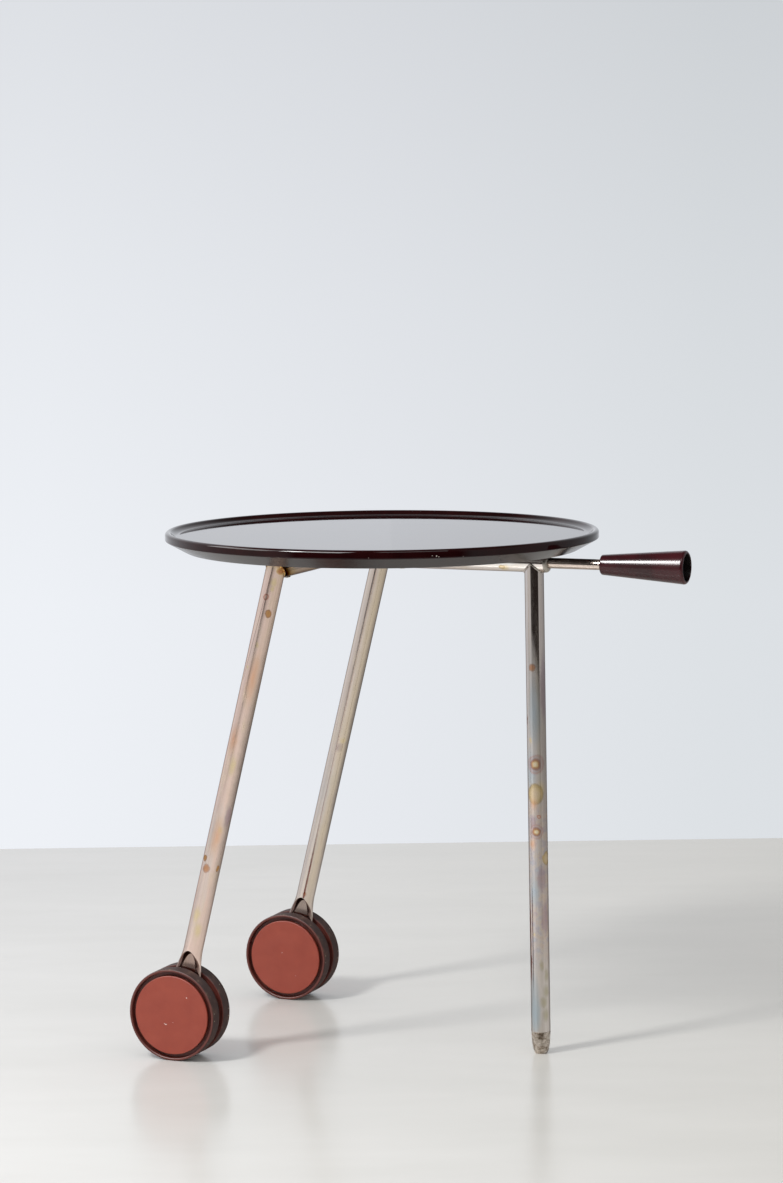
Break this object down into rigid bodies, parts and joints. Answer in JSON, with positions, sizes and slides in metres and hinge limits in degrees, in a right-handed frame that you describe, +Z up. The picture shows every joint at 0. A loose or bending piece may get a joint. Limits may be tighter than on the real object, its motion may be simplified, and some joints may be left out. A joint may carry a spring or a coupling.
{
  "type": "rolling side table",
  "caption": "Rolling side table: round lacquered tray on a tube frame with a straight front leg, raked rear legs on twin-disc wheels, and a conical handle grip.",
  "frame": {"origin": "on the floor, below the middle of the whole table's outline", "axes": "+X towards the handle, +Y across the rear legs, +Z up"},
  "size_m": [0.6169, 0.5, 0.6],
  "materials": {
    "lacquered_wood": "high gloss dark red-brown lacquer",
    "lacquered_grip": "high gloss dark red-brown lacquer",
    "plated_tube": "aged nickel plate with warm stains",
    "plated_rod": "polished nickel plate",
    "bright_steel": "turned steel",
    "brass": "turned brass",
    "worn_tip": "worn and pitted",
    "wheel_plastic": "moulded, dusty tread",
    "cap_plastic": "moulded, matte"
  },
  "bodies": {
    "frame": {"tray": "lacquered_wood", "tray_inserts": "brass", "tray_screws": "bright_steel", "spine_tube": "plated_tube", "cross_tube": "plated_tube", "rear_leg_left": "plated_tube", "rear_leg_right": "plated_tube", "front_leg": "plated_tube", "front_foot": "worn_tip", "spine_end_bush": "bright_steel", "rod_guide": "bright_steel", "handle_rod": "plated_rod", "handle_grip": "lacquered_grip", "grip_washer": "bright_steel", "grip_nut": "bright_steel", "axle_left": "bright_steel", "axle_right": "bright_steel", "axle_sleeve_left": "bright_steel", "axle_sleeve_right": "bright_steel", "axle_clips_left": "bright_steel", "axle_clips_right": "bright_steel"},
    "disc_left_outer": {"wheel_left_outer": "wheel_plastic", "cap_left_outer": "cap_plastic"},
    "disc_left_inner": {"wheel_left_inner": "wheel_plastic", "cap_left_inner": "cap_plastic"},
    "disc_right_inner": {"wheel_right_inner": "wheel_plastic", "cap_right_inner": "cap_plastic"},
    "disc_right_outer": {"wheel_right_outer": "wheel_plastic", "cap_right_outer": "cap_plastic"}
  },
  "joints": [
    {"name": "spin_left_outer", "type": "hinge", "parent": "frame", "child": "disc_left_outer", "pos_m": [-0.24869, -0.1741, 0.053], "axis": [0, 1, 0], "continuous": true},
    {"name": "spin_left_inner", "type": "hinge", "parent": "frame", "child": "disc_left_inner", "pos_m": [-0.24869, -0.1459, 0.053], "axis": [0, 1, 0], "continuous": true},
    {"name": "spin_right_inner", "type": "hinge", "parent": "frame", "child": "disc_right_inner", "pos_m": [-0.24869, 0.1459, 0.053], "axis": [0, 1, 0], "continuous": true},
    {"name": "spin_right_outer", "type": "hinge", "parent": "frame", "child": "disc_right_outer", "pos_m": [-0.24869, 0.1741, 0.053], "axis": [0, 1, 0], "continuous": true}
  ]
}
